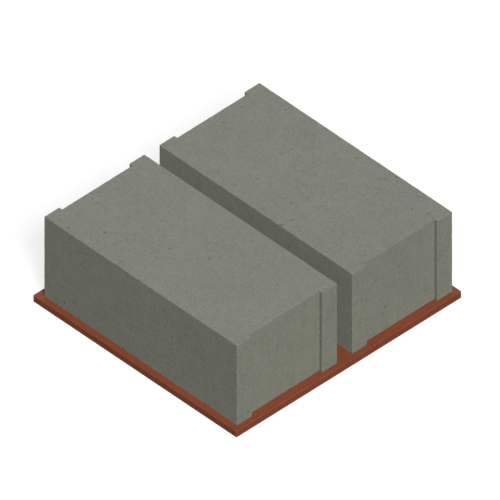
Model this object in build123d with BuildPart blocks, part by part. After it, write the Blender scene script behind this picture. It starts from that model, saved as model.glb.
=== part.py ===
from build123d import *
import os

# Two plain concrete blocks side by side on a flat production board. Each end
# of a block has a shallow recess, as high as the block, between two flat ears.
# Millimetres, +Z up. +X runs along the blocks towards their front ends and +Y
# across them, to the right as seen from the front. The origin is the middle
# of the board's underside, where the board meets the ground.

# Block
BLOCK_LENGTH = 400
BLOCK_WIDTH = 200
BLOCK_HEIGHT = 150
EAR_WIDTH = 30  # from a long side to the recess
RECESS_DEPTH = 6
RECESS_CORNER_RADIUS = 1  # inside corners at the back of the recess
ARRIS_RADIUS = 1  # upright outside corners
TOP_ARRIS_RADIUS = 0.5  # edge round the top face

# Places of the blocks on the board
BLOCK_GAP = 30  # between the two long sides that face each other
FRONT_MARGIN = 9  # board left bare beyond the front ends
BACK_MARGIN = 13
SIDE_MARGIN = 10

# Board
BOARD_THICKNESS = 12
BOARD_CORNER_RADIUS = 2  # in plan
BOARD_EDGE_RADIUS = 1  # upper and lower rims

# Sizes that follow from those above
BOARD_LENGTH = BACK_MARGIN + BLOCK_LENGTH + FRONT_MARGIN
BOARD_WIDTH = 2 * SIDE_MARGIN + 2 * BLOCK_WIDTH + BLOCK_GAP
BLOCK_CENTRE_X = (BACK_MARGIN - FRONT_MARGIN) / 2
BLOCK_CENTRE_Y = (BLOCK_GAP + BLOCK_WIDTH) / 2

os.makedirs("parts", exist_ok=True)

# The board: a flat plate with rounded corners and eased rims.
with BuildPart() as board:
    with BuildSketch(Plane.XY):
        RectangleRounded(BOARD_LENGTH, BOARD_WIDTH, BOARD_CORNER_RADIUS)
    extrude(amount=BOARD_THICKNESS)
    levels = board.edges().group_by(Axis.Z)
    fillet(levels[0] + levels[-1], radius=BOARD_EDGE_RADIUS)

board.part.label = "production_board"
export_step(board.part, "parts/production_board.step")

# The blocks: a quarter of the plan outline, from the middle of a long side
# round one ear to the middle of the recess, is drawn once and mirrored. Each
# block stands on the board's upper face.
for name, side in (("block_left", -1), ("block_right", 1)):
    seat = Plane((BLOCK_CENTRE_X, side * BLOCK_CENTRE_Y, BOARD_THICKNESS))
    with BuildPart() as block:
        with BuildSketch(seat):
            with BuildLine():
                FilletPolyline(
                    (0, BLOCK_WIDTH / 2),
                    (BLOCK_LENGTH / 2, BLOCK_WIDTH / 2),
                    (BLOCK_LENGTH / 2, BLOCK_WIDTH / 2 - EAR_WIDTH),
                    (BLOCK_LENGTH / 2 - RECESS_DEPTH, BLOCK_WIDTH / 2 - EAR_WIDTH),
                    (BLOCK_LENGTH / 2 - RECESS_DEPTH, 0),
                    radius=[ARRIS_RADIUS, ARRIS_RADIUS, RECESS_CORNER_RADIUS],
                )
                mirror(about=Plane.YZ)
                mirror(about=Plane.XZ)
            make_face()
        extrude(amount=BLOCK_HEIGHT)
        fillet(block.edges().group_by(Axis.Z)[-1], radius=TOP_ARRIS_RADIUS)

    block.part.label = name
    export_step(block.part, f"parts/{name}.step")
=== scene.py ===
from collections import namedtuple
import math

import bpy
import numpy as np
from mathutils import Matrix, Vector, noise


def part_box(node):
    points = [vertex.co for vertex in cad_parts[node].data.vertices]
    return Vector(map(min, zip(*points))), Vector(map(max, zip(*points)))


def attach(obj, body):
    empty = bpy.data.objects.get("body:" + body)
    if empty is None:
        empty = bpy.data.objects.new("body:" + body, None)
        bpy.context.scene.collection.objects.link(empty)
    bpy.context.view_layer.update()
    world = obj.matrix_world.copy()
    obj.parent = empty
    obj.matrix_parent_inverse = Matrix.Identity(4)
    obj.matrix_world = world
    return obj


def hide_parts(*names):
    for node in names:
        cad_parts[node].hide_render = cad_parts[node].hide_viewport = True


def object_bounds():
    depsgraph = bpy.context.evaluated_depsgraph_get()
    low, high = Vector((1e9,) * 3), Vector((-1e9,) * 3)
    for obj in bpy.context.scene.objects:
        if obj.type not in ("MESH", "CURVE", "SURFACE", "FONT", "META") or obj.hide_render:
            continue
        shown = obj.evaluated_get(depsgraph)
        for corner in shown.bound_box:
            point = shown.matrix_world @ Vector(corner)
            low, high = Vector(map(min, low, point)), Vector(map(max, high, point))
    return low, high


# Two pressed concrete blocks on a red-brown production board. The board is
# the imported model's own mesh. Each block is a finer mesh with softened
# arrises, pores and shallow relief. Lengths are in metres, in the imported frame.
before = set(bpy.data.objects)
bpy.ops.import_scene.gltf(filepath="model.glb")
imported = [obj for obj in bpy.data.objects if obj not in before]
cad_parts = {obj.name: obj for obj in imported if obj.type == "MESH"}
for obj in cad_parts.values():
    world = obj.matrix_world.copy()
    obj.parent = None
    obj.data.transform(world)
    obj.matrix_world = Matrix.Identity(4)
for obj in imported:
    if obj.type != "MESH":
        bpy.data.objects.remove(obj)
cad_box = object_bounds()

BLOCKS = ("block_left", "block_right")
BOARD = "production_board"

# Each end of a block has a recess between two ears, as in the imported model.
EAR_WIDTH = 0.030
RECESS_DEPTH = 0.006
RECESS_CORNER_RADIUS = 0.001  # inside corners at the back of the recess

# The photograph is a parallel projection. These say where its camera stands.
IMAGE_SIDE = 500  # pixels
PIXELS_PER_METRE = 695.1
BOARD_TOP_PIXEL = (247.29, 293.19)  # the middle of the board's upper face
VIEW_AZIMUTH = math.radians(46.06)
VIEW_ELEVATION = math.radians(40.23)
CAMERA_DISTANCE = 2.0
CLIP_RANGE = (0.05, 20.0)

# Light. A level face gets 1 in all, so that a colour renders as it is written.
AMBIENT = 0.08  # from the surround
KEY = (0.770, -0.480, 0.87)  # what the key lamp adds to faces along +X, -Y and up
FILL = (-0.36, 0.36, 0.05)  # what the fill lamp adds to faces along -X, +Y and up
LAMP_ANGLE = math.radians(16)  # how wide each lamp looks: a wider one casts a softer shadow
FLOOR_SIZE = 12.0
FLOOR_BOUNCE = 0.08  # the floor's grey for the rays that light the object
FLOOR_SHADE = 0.24  # its grey to the eye, which a shadow darkens
FLOOR_GLOW = 0.80  # what it adds to that, so that it looks white

# Colours, linear
WHITE = (1.0, 1.0, 1.0)
CONCRETE_TOP = (0.2116, 0.2194, 0.1866)
CONCRETE_SIDE = (0.2170, 0.2237, 0.1786)  # the mould's walls leave a warmer face
BOARD_PAINT = (0.209, 0.0562, 0.0268)
RIM_WEAR_AND_HIGHLIGHT = (0.163, 0.094, 0.056)  # paint rubbed dull along the board's rims, which also paints a highlight on them

# A noise with features of a size in metres, spread over low..high
Noise = namedtuple("Noise", "size low high detail roughness", defaults=(3.0, 0.55))
TEXTURE_RANGE = (0.3, 0.7)  # about the lowest and highest values of a noise texture

# Concrete colour. The tones are factors, and a grain, or the painted shade of a pore, adds its number to
# 1.
CONCRETE_TONES = (
    Noise(size=0.09, low=0.98, high=1.02, detail=2),  # broad shading
    Noise(size=0.020, low=0.97, high=1.03, detail=5, roughness=0.6),  # blotches
    Noise(size=0.0016, low=0.90, high=1.10, roughness=0.7),  # fine grain
)
CONCRETE_CLOUDS = Noise(size=0.11, low=0.0, high=0.30, detail=2)  # patches of the sides' colour
SIDE_WARMTH = 0.70  # the share of that colour that the sides add to the clouds
SIDE_TO_TOP = (0.3, 0.7)  # how level a face is where the sides' finish goes over to the top's
STREAKS = Noise(size=0.006, low=-0.022, high=0.022, detail=4, roughness=0.6)
STREAK_STRETCH = 14  # how much longer than wide the mould's upright streaks are
SAND_SIZE, SAND_TONES = 0.0017, (0.93, 1.07)
GRAVEL_SIZE = 0.0044  # of the cells that may hold a dark or a pale grain
GRAVEL_RIM = (0.22, 0.42)  # from the middle of a cell, in cell sizes: where a grain fades out
DARK_PICKS, PALE_PICKS = (0.82, 0.90), (0.80, 0.92)  # random values, from no grain to a full one
DARK_GRAIN, PALE_GRAIN = -0.19, 0.16
PINHOLE_SPACING = 0.0062
PINHOLE_PICKS = (0.72, 1.0)  # random values, from no pinhole to the largest
PINHOLE_RADIUS, PINHOLE_RIM = 0.22, 0.08  # in spacings: the largest hole, and its soft rim
# Painted shade at the bottom of pores and pinholes, and in the recesses' inside corners
PIT_SHADE, PINHOLE_SHADE = -0.42, -0.36

# Concrete surface
CONCRETE_ROUGHNESS = Noise(size=0.0033, low=0.84, high=0.96)
CONCRETE_GLOSS = 0.06
GRIT_SIZE, GRIT_HEIGHT, GRIT_STRENGTH = 0.0024, 0.0007, 0.8
PINHOLE_DEPTH = -0.8  # what a pinhole adds to the grit's height, as a share of it

# Board paint. How level the surface is goes from 0 on the upright edges to 1 on the faces.
PAINT_TONES = (
    Noise(size=0.083, low=0.96, high=1.04),  # clouds
    Noise(size=0.0067, low=0.95, high=1.05, detail=5, roughness=0.65),  # mottle
    Noise(size=0.0014, low=0.96, high=1.04, detail=2),  # speckle
)
EDGE_PAINTED_SHADE = 0.92  # painted shade: how dark the upright edges are beside the faces
EDGE_SHADE_END = (0.30, 0.95)  # how level a rim is where the painted shade fades out
WEAR_AND_HIGHLIGHT_START, WEAR_AND_HIGHLIGHT_END = (0.02, 0.30), (0.50, 0.85)  # and where its wear and painted highlight fade in and out
RIM_WEAR_AND_HIGHLIGHT_SHARE = Noise(size=0.014, low=0.60, high=1.00, detail=4, roughness=0.6)
PAINT_ROUGHNESS = Noise(size=0.0045, low=0.52, high=0.70, detail=4)
PAINT_GLOSS = 0.05
PEEL_SIZE, PEEL_HEIGHT, PEEL_STRENGTH = 0.0020, 0.0003, 0.5

# Block mesh
CELL = 0.0018  # side of a mesh cell on an open face
ARRIS_STEPS = (0.0, 0.0003, 0.0007, 0.0014)  # from an arris to the grid lines beside it
SAME_PLACE = 0.000001  # a distance that counts as none

# Arrises: their radius varies along them, slowly and in crumbs as small as the grain.
ARRIS_RADIUS = 0.0006
ARRIS_RADIUS_LIMITS = (0.0003, 0.0014)
ARRIS_WANDER_SIZE, ARRIS_WANDER = 0.018, 0.5
ARRIS_CRUMBLE = 0.35

# Relief below the block's true faces. Each depth is the mean of its noise.
WAVE_SIZE, WAVE_DEPTH = 0.035, 0.00005
GRAIN_SIZE, GRAIN_DEPTH = 0.0055, 0.00007
OCTAVES, OCTAVE_FADE, OCTAVE_RATIO = 2, 1.0, 2.0  # each is finer than the last, and weaker

# Inside corners of the recesses: painted shade, like that at the bottom of a pore but less
CORNER_REACH = (RECESS_DEPTH, 0.001)  # along the return, and along the recess's back
CORNER_SHADE = 0.7

# Pores: about one spacing apart, and only a share of the places has one.
Pores = namedtuple("Pores", "spacing radius depth share")
PORE_KINDS = (
    Pores(spacing=0.024, radius=0.0037, depth=0.0016, share=0.45),
    Pores(spacing=0.0095, radius=0.0026, depth=0.0011, share=0.50),
)
PORE_WARP_SIZE, PORE_WARP = 0.004, 0.0009  # makes their rims uneven
WARP_SEED = 1  # any number but 0, so that each run gives the same rims
SMALLEST_PORE = 0.4  # of the largest one's radius
PICK_SCALE = 57.0  # spreads the places of pores, so that each draws a number of its own


def new_material(name):
    """A material with an empty Principled surface: the material, its tree and the shader."""
    material = bpy.data.materials.new(name)
    material.use_nodes = True
    tree = material.node_tree
    tree.nodes.clear()
    output = tree.nodes.new("ShaderNodeOutputMaterial")
    shader = tree.nodes.new("ShaderNodeBsdfPrincipled")
    tree.links.new(shader.outputs["BSDF"], output.inputs["Surface"])
    return material, tree, shader


def add(tree, kind, settings=None, **inputs):
    """A new node. Inputs are values or sockets, by the socket's name or as i0, i1 for its number."""
    node = tree.nodes.new(kind)
    for key, value in (settings or {}).items():
        setattr(node, key, value)
    for key, value in inputs.items():
        socket = node.inputs[int(key[1:])] if key[1:].isdigit() else node.inputs[key.replace("_", " ")]
        if isinstance(value, bpy.types.NodeSocket):
            tree.links.new(value, socket)
        else:
            socket.default_value = value
    return node


def math_node(tree, operation, a, b=0.0, c=0.0):
    """The result of a math operation on values or sockets."""
    return add(tree, "ShaderNodeMath", {"operation": operation}, i0=a, i1=b, i2=c).outputs[0]


def product(tree, *factors):
    """All factors multiplied."""
    result = factors[0]
    for factor in factors[1:]:
        result = math_node(tree, "MULTIPLY", result, factor)
    return result


def lightened(tree, mask, amount):
    """1 where the mask is 0, and 1 plus the amount where it is 1."""
    return math_node(tree, "MULTIPLY_ADD", mask, amount, 1.0)


def ramp(tree, value, low, high, to_low=0.0, to_high=1.0):
    """Maps low..high to to_low..to_high, smoothly and clamped."""
    node = add(
        tree,
        "ShaderNodeMapRange",
        {"interpolation_type": "SMOOTHSTEP"},
        Value=value,
        From_Min=low,
        From_Max=high,
        To_Min=to_low,
        To_Max=to_high,
    )
    return node.outputs["Result"]


def noise_texture(tree, where, size, detail, roughness):
    """Noise with features of the given size, as the texture gives it."""
    node = add(
        tree,
        "ShaderNodeTexNoise",
        Vector=where,
        Scale=1 / size,
        Detail=detail,
        Roughness=roughness,
    )
    return node.outputs["Fac"]


def spread_noise(tree, where, kind):
    """Noise spread over the range that its kind gives."""
    value = noise_texture(tree, where, kind.size, kind.detail, kind.roughness)
    return ramp(tree, value, *TEXTURE_RANGE, kind.low, kind.high)


def cells(tree, where, size):
    """Voronoi cells: the distance from each one's middle, in cell sizes, and its three random values."""
    node = add(tree, "ShaderNodeTexVoronoi", Vector=where, Scale=1 / size, Randomness=1.0)
    picks = add(tree, "ShaderNodeSeparateColor", Color=node.outputs["Color"])
    return node.outputs["Distance"], list(picks.outputs)


def scaled_colour(tree, colour, factor):
    """The colour times a grey factor."""
    node = add(tree, "ShaderNodeVectorMath", {"operation": "SCALE"}, i0=colour, Scale=factor)
    return node.outputs["Vector"]


def mixed_colour(tree, first, second, share):
    """The first colour, going over to the second as the share goes from 0 to 1."""
    # A mix node has its colour inputs at 6 and 7 and its colour result at 2.
    node = add(tree, "ShaderNodeMix", {"data_type": "RGBA"}, i0=share, i6=(*first, 1), i7=(*second, 1))
    return node.outputs[2]


def object_place(tree):
    """Each point's place in the object's own frame."""
    return add(tree, "ShaderNodeTexCoord").outputs["Object"]


def levelness(tree):
    """0 on upright faces and 1 on level ones, in the object's own frame."""
    normal = add(tree, "ShaderNodeTexCoord").outputs["Normal"]
    return math_node(tree, "ABSOLUTE", add(tree, "ShaderNodeSeparateXYZ", Vector=normal).outputs["Z"])


def concrete_material():
    """Pressed concrete: cloudy paste, sand, a few larger grains, pores with painted shade, and drag
    marks on the sides.
    """
    material, tree, shader = new_material("pressed_concrete")
    where = object_place(tree)

    sides = ramp(tree, levelness(tree), *SIDE_TO_TOP, to_low=1.0, to_high=0.0)
    clouds = spread_noise(tree, where, CONCRETE_CLOUDS)
    warmth = math_node(tree, "MULTIPLY_ADD", sides, SIDE_WARMTH, clouds)
    paste = mixed_colour(tree, CONCRETE_TOP, CONCRETE_SIDE, warmth)
    tones = [spread_noise(tree, where, kind) for kind in CONCRETE_TONES]

    # The mould's walls leave faint upright streaks.
    stretched = add(tree, "ShaderNodeMapping", Vector=where, Scale=(1, 1, 1 / STREAK_STRETCH))
    streaks = spread_noise(tree, stretched.outputs["Vector"], STREAKS)
    drag = lightened(tree, sides, streaks)

    # Sand: each small cell has a tone of its own.
    picks = cells(tree, where, SAND_SIZE)[1]
    sand = ramp(tree, picks[0], 0.0, 1.0, *SAND_TONES)

    # Larger grains: most cells are paste, a few show a dark or a pale grain.
    distance, picks = cells(tree, where, GRAVEL_SIZE)
    body = ramp(tree, distance, *GRAVEL_RIM, to_low=1.0, to_high=0.0)
    dark = lightened(tree, product(tree, ramp(tree, picks[0], *DARK_PICKS), body), DARK_GRAIN)
    pale = lightened(tree, product(tree, ramp(tree, picks[1], *PALE_PICKS), body), PALE_GRAIN)

    # Painted shade in pores and inside corners: the mesh gives the larger pores and the corners, and
    # pinholes lie between them.
    painted_hollow_shade = add(tree, "ShaderNodeAttribute", {"attribute_name": "painted_hollow_shade"}).outputs["Fac"]
    distance, picks = cells(tree, where, PINHOLE_SPACING)
    hole_radius = ramp(tree, picks[2], *PINHOLE_PICKS, to_low=0.0, to_high=PINHOLE_RADIUS)
    pinhole = ramp(tree, math_node(tree, "SUBTRACT", hole_radius, distance), 0.0, PINHOLE_RIM)
    pores = product(tree, lightened(tree, painted_hollow_shade, PIT_SHADE), lightened(tree, pinhole, PINHOLE_SHADE))

    factor = product(tree, *tones, drag, sand, dark, pale, pores)
    tree.links.new(scaled_colour(tree, paste, factor), shader.inputs["Base Color"])

    grit = noise_texture(tree, where, GRIT_SIZE, detail=5, roughness=0.65)
    height = product(tree, grit, sand, lightened(tree, pinhole, PINHOLE_DEPTH))
    bump = add(tree, "ShaderNodeBump", Height=height, Distance=GRIT_HEIGHT, Strength=GRIT_STRENGTH)
    tree.links.new(bump.outputs["Normal"], shader.inputs["Normal"])
    tree.links.new(spread_noise(tree, where, CONCRETE_ROUGHNESS), shader.inputs["Roughness"])
    shader.inputs["Specular IOR Level"].default_value = CONCRETE_GLOSS
    return material


def paint_material():
    """Matt red-brown paint on steel plate: painted shade on the upright edges, and the rims worn dull
    with a painted highlight.
    """
    material, tree, shader = new_material("red_brown_paint")
    where = object_place(tree)
    level = levelness(tree)

    tones = [spread_noise(tree, where, kind) for kind in PAINT_TONES]
    # Painted shade on the upright edges, fading out over the rims
    edge_shade = ramp(tree, level, *EDGE_SHADE_END, to_low=EDGE_PAINTED_SHADE, to_high=1.0)
    # Along the rims the paint is worn dull, and this also paints a highlight there
    off_side = ramp(tree, level, *WEAR_AND_HIGHLIGHT_START)
    off_top = ramp(tree, level, *WEAR_AND_HIGHLIGHT_END, to_low=1.0, to_high=0.0)
    wear_and_highlight = product(tree, off_side, off_top, spread_noise(tree, where, RIM_WEAR_AND_HIGHLIGHT_SHARE))
    colour = mixed_colour(tree, BOARD_PAINT, RIM_WEAR_AND_HIGHLIGHT, wear_and_highlight)
    factor = product(tree, *tones, edge_shade)
    tree.links.new(scaled_colour(tree, colour, factor), shader.inputs["Base Color"])

    orange_peel = noise_texture(tree, where, PEEL_SIZE, detail=3, roughness=0.6)
    bump = add(tree, "ShaderNodeBump", Height=orange_peel, Distance=PEEL_HEIGHT, Strength=PEEL_STRENGTH)
    tree.links.new(bump.outputs["Normal"], shader.inputs["Normal"])
    tree.links.new(spread_noise(tree, where, PAINT_ROUGHNESS), shader.inputs["Roughness"])
    shader.inputs["Specular IOR Level"].default_value = PAINT_GLOSS
    return material


def grid_lines(corners):
    """Grid lines through all corners, even between them and closer together beside them."""
    lines = [corners[0]]
    for start, stop in zip(corners, corners[1:]):
        inner_start, inner_stop = start + ARRIS_STEPS[-1], stop - ARRIS_STEPS[-1]
        count = max(1, round((inner_stop - inner_start) / CELL))
        lines += [start + step for step in ARRIS_STEPS[1:]]
        lines += list(np.linspace(inner_start, inner_stop, count + 1)[1:-1])
        lines += [stop - step for step in reversed(ARRIS_STEPS)]
    return np.array(lines)


def line_numbers(lines, corners):
    """The numbers of the grid lines that go through the corners."""
    return [int(np.argmin(abs(lines - corner))) for corner in corners]


def plan_outline(x_marks, y_marks):
    """Grid points round the block's plan, anticlockwise: the ears stand out, the recesses stand back."""
    x0, x1, x2, x3 = x_marks
    y0, y1, y2, y3 = y_marks
    turns = [
        (x0, y0), (x3, y0), (x3, y1), (x2, y1), (x2, y2), (x3, y2),
        (x3, y3), (x0, y3), (x0, y2), (x1, y2), (x1, y1), (x0, y1),
    ]
    points = []
    for (ax, ay), (bx, by) in zip(turns, turns[1:] + turns[:1]):
        steps = max(abs(bx - ax), abs(by - ay))
        for k in range(steps):
            points.append((ax + (bx - ax) * k // steps, ay + (by - ay) * k // steps))
    return points


def block_grid(low, high):
    """The block as a fine grid with sharp corners: vertices and faces."""
    x_corners = (low.x, low.x + RECESS_DEPTH, high.x - RECESS_DEPTH, high.x)
    y_corners = (low.y, low.y + EAR_WIDTH, high.y - EAR_WIDTH, high.y)
    xs, ys, zs = grid_lines(x_corners), grid_lines(y_corners), grid_lines((low.z, high.z))
    x_marks, y_marks = line_numbers(xs, x_corners), line_numbers(ys, y_corners)
    vertices, faces, top = [], [], {}

    def top_vertex(i, j):
        if (i, j) not in top:
            top[i, j] = len(vertices)
            vertices.append((xs[i], ys[j], zs[-1]))
        return top[i, j]

    for i in range(len(xs) - 1):
        in_end = i < x_marks[1] or i >= x_marks[2]
        for j in range(len(ys) - 1):
            in_recess = in_end and y_marks[1] <= j < y_marks[2]
            if not in_recess:
                corners = ((i, j), (i + 1, j), (i + 1, j + 1), (i, j + 1))
                faces.append([top_vertex(*corner) for corner in corners])

    # The sides go down ring by ring, and the last ring is the underside.
    ring = plan_outline(x_marks, y_marks)
    upper = [top[point] for point in ring]
    for z in reversed(zs[:-1]):
        lower = list(range(len(vertices), len(vertices) + len(ring)))
        vertices += [(xs[i], ys[j], z) for i, j in ring]
        for k in range(len(ring)):
            after = (k + 1) % len(ring)
            faces.append([lower[k], lower[after], upper[after], upper[k]])
        upper = lower
    faces.append(list(reversed(upper)))
    return np.array(vertices), faces


def fractal(point, size):
    """Smooth noise from about -1 to 1, with features of the given size."""
    return noise.fractal(point / size, OCTAVE_FADE, OCTAVE_RATIO, OCTAVES)


def pore_depth(point, pores):
    """How deep one kind of pore lies below the face at a point."""
    warped = point + noise.noise_vector(point / PORE_WARP_SIZE) * PORE_WARP
    distances, centres = noise.voronoi(warped / pores.spacing)
    pick = (1 + noise.cell(centres[0] * PICK_SCALE)) / 2  # from 0 to 1
    if pick > pores.share:
        return 0.0
    size = SMALLEST_PORE + (1 - SMALLEST_PORE) * (pick / pores.share) ** 2  # most are small
    off_centre = distances[0] * pores.spacing / (pores.radius * size)
    return pores.depth * size * max(0.0, 1 - off_centre ** 2)


def nearest_on_cores(points, radii, low, high):
    """For each point, the nearest on the block shrunk by its radius: a middle box and four ears."""
    # The ears that count for a point stand beside the long side that is nearer to it.
    side = np.where(points[:, 1] > (low.y + high.y) / 2, 1, -1)
    face = np.where(side > 0, high.y, low.y)
    ear_edges = np.sort([face - side * radii, face - side * (EAR_WIDTH - radii)], axis=0)
    recess = RECESS_DEPTH + radii
    spans = (
        (low.x + recess, high.x - recess, low.y + radii, high.y - radii),
        (low.x + radii, high.x - radii, ear_edges[0], ear_edges[1]),
    )
    choices = []
    for x_low, x_high, y_low, y_high in spans:
        choices.append(np.stack((
            np.clip(points[:, 0], x_low, x_high),
            np.clip(points[:, 1], y_low, y_high),
            np.minimum(points[:, 2], high.z - radii),
        ), axis=1))
    distances = [np.linalg.norm(points - choice, axis=1) for choice in choices]
    return np.where((distances[0] < distances[1])[:, None], choices[0], choices[1])


def coved(points, low, high):
    """How far each point moves in plan to round the recess's inside corners."""
    radius = RECESS_CORNER_RADIUS
    shift = np.zeros_like(points)
    for x_back, x_out in ((low.x + RECESS_DEPTH, -1), (high.x - RECESS_DEPTH, 1)):
        for y_return, y_out in ((low.y + EAR_WIDTH, 1), (high.y - EAR_WIDTH, -1)):
            centre = np.array((x_back + x_out * radius, y_return + y_out * radius))
            away = points[:, :2] - centre
            depth = -away * (x_out, y_out)  # towards the corner's walls
            moved = np.all((depth >= 0) & (depth <= radius + SAME_PLACE), axis=1)
            reach = np.linalg.norm(away[moved], axis=1)
            shift[moved, :2] = away[moved] * (radius / reach - 1)[:, None]
    return shift


def corner_shade(points, low, high):
    """How far each point is shaded by an inside corner of a recess."""
    nearness = np.zeros(len(points))
    for x_back in (low.x + RECESS_DEPTH, high.x - RECESS_DEPTH):
        for y_return in (low.y + EAR_WIDTH, high.y - EAR_WIDTH):
            away = (points[:, :2] - (x_back, y_return)) / CORNER_REACH
            nearness = np.maximum(nearness, 1 - np.linalg.norm(away, axis=1))
    return CORNER_SHADE * nearness


def weathered(points, low, high):
    """The grid's points, all moved inwards for arrises, pores and relief, and each one's painted shade
    for pores and inside corners.
    """
    vectors = [Vector(point) for point in points]
    grain = np.array([fractal(vector, GRAIN_SIZE) for vector in vectors])
    wave = np.array([fractal(vector, WAVE_SIZE) for vector in vectors])
    wander = np.array([fractal(vector, ARRIS_WANDER_SIZE) for vector in vectors])
    depths = np.array([[pore_depth(vector, pores) for pores in PORE_KINDS] for vector in vectors])

    radii = ARRIS_RADIUS * (1 + ARRIS_WANDER * wander + ARRIS_CRUMBLE * grain)
    radii = np.clip(radii, *ARRIS_RADIUS_LIMITS)
    cores = nearest_on_cores(points, radii, low, high)
    away = points - cores
    outwards = away / np.linalg.norm(away, axis=1)[:, None]
    relief = WAVE_DEPTH * (1 + wave) + GRAIN_DEPTH * (1 + grain) + depths.max(axis=1)
    result = cores + outwards * (radii - relief)[:, None] + coved(points, low, high)

    on_seat = points[:, 2] <= low.z
    result[on_seat, 2] = low.z
    painted_hollow_shade = (depths / [pores.depth for pores in PORE_KINDS]).max(axis=1)
    return result, np.maximum(painted_hollow_shade, corner_shade(points, low, high))


def make_block(node, material):
    """The detailed mesh that stands for one block."""
    low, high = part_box(node)
    points, faces = block_grid(low, high)
    points, painted_hollow_shade = weathered(points, low, high)
    mesh = bpy.data.meshes.new(f"{node}_detail")
    mesh.from_pydata(points.tolist(), [], faces)
    mesh.attributes.new("painted_hollow_shade", "FLOAT", "POINT").data.foreach_set("value", painted_hollow_shade)
    mesh.polygons.foreach_set("use_smooth", [True] * len(mesh.polygons))
    mesh.materials.append(material)
    mesh.update()
    piece = bpy.data.objects.new(f"{node}_detail", mesh)
    bpy.context.scene.collection.objects.link(piece)
    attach(piece, "root")
    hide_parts(node)


def make_camera():
    """A parallel camera that sees the board's upper face where the photograph shows it."""
    towards_camera = Vector((
        math.sin(VIEW_AZIMUTH) * math.cos(VIEW_ELEVATION),
        -math.cos(VIEW_AZIMUTH) * math.cos(VIEW_ELEVATION),
        math.sin(VIEW_ELEVATION),
    ))
    turn = (-towards_camera).to_track_quat("-Z", "Y")
    low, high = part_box(BOARD)
    board_top = Vector(((low.x + high.x) / 2, (low.y + high.y) / 2, high.z))
    right = (IMAGE_SIDE / 2 - BOARD_TOP_PIXEL[0]) / PIXELS_PER_METRE
    up = (BOARD_TOP_PIXEL[1] - IMAGE_SIDE / 2) / PIXELS_PER_METRE
    aim = board_top + turn @ Vector((right, up, 0))

    data = bpy.data.cameras.new("camera")
    data.type = "ORTHO"
    data.ortho_scale = IMAGE_SIDE / PIXELS_PER_METRE
    data.clip_start, data.clip_end = CLIP_RANGE
    camera = bpy.data.objects.new("camera", data)
    camera.rotation_mode = "QUATERNION"
    camera.rotation_quaternion = turn
    camera.location = aim + towards_camera * CAMERA_DISTANCE
    bpy.context.scene.collection.objects.link(camera)
    bpy.context.scene.camera = camera


def seen_directly(tree):
    """1 for camera, glossy and transmission rays, 0 for the rays that light the object."""
    path = add(tree, "ShaderNodeLightPath")
    rays = math_node(tree, "MAXIMUM", path.outputs["Is Camera Ray"], path.outputs["Is Glossy Ray"])
    return math_node(tree, "MAXIMUM", rays, path.outputs["Is Transmission Ray"])


def make_lamp(name, to_lamp):
    """A soft distant lamp. Each number is the light it adds to a face along that axis."""
    to_lamp = Vector(to_lamp)
    data = bpy.data.lights.new(name, "SUN")
    data.energy = to_lamp.length * math.pi
    data.angle = LAMP_ANGLE
    lamp = bpy.data.objects.new(name, data)
    lamp.rotation_mode = "QUATERNION"
    lamp.rotation_quaternion = to_lamp.to_track_quat("Z", "Y")
    bpy.context.scene.collection.objects.link(lamp)


def make_surround():
    """An even surround that lights the object softly and looks white."""
    world = bpy.data.worlds.new("surround")
    world.use_nodes = True
    tree = world.node_tree
    tree.nodes.clear()
    strength = ramp(tree, seen_directly(tree), 0.0, 1.0, AMBIENT, 1.0)
    background = add(tree, "ShaderNodeBackground", Color=(*WHITE, 1), Strength=strength)
    output = tree.nodes.new("ShaderNodeOutputWorld")
    tree.links.new(background.outputs["Background"], output.inputs["Surface"])
    bpy.context.scene.world = world


def floor_material():
    """Matt, white to the eye, but giving back less light than it seems to."""
    material, tree, shader = new_material("floor")
    seen = seen_directly(tree)
    grey = ramp(tree, seen, 0.0, 1.0, FLOOR_BOUNCE, FLOOR_SHADE)
    tree.links.new(scaled_colour(tree, WHITE, grey), shader.inputs["Base Color"])
    tree.links.new(math_node(tree, "MULTIPLY", seen, FLOOR_GLOW), shader.inputs["Emission Strength"])
    shader.inputs["Emission Color"].default_value = (*WHITE, 1)
    shader.inputs["Roughness"].default_value = 1.0
    shader.inputs["Specular IOR Level"].default_value = 0.0
    return material


def make_floor():
    """A plain square floor at the object's lowest level."""
    half, height = FLOOR_SIZE / 2, cad_box[0].z
    corners = [(x, y, height) for x, y in ((-half, -half), (half, -half), (half, half), (-half, half))]
    mesh = bpy.data.meshes.new("floor")
    mesh.from_pydata(corners, [], [(0, 1, 2, 3)])
    mesh.materials.append(floor_material())
    floor = bpy.data.objects.new("floor", mesh)
    bpy.context.scene.collection.objects.link(floor)


noise.seed_set(WARP_SEED)
concrete = concrete_material()
for block in BLOCKS:
    make_block(block, concrete)

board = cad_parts[BOARD]
board.data.materials.clear()
board.data.materials.append(paint_material())

make_floor()
make_lamp("key", KEY)
make_lamp("fill", FILL)
make_surround()
make_camera()
bpy.context.scene.view_settings.view_transform = "Standard"
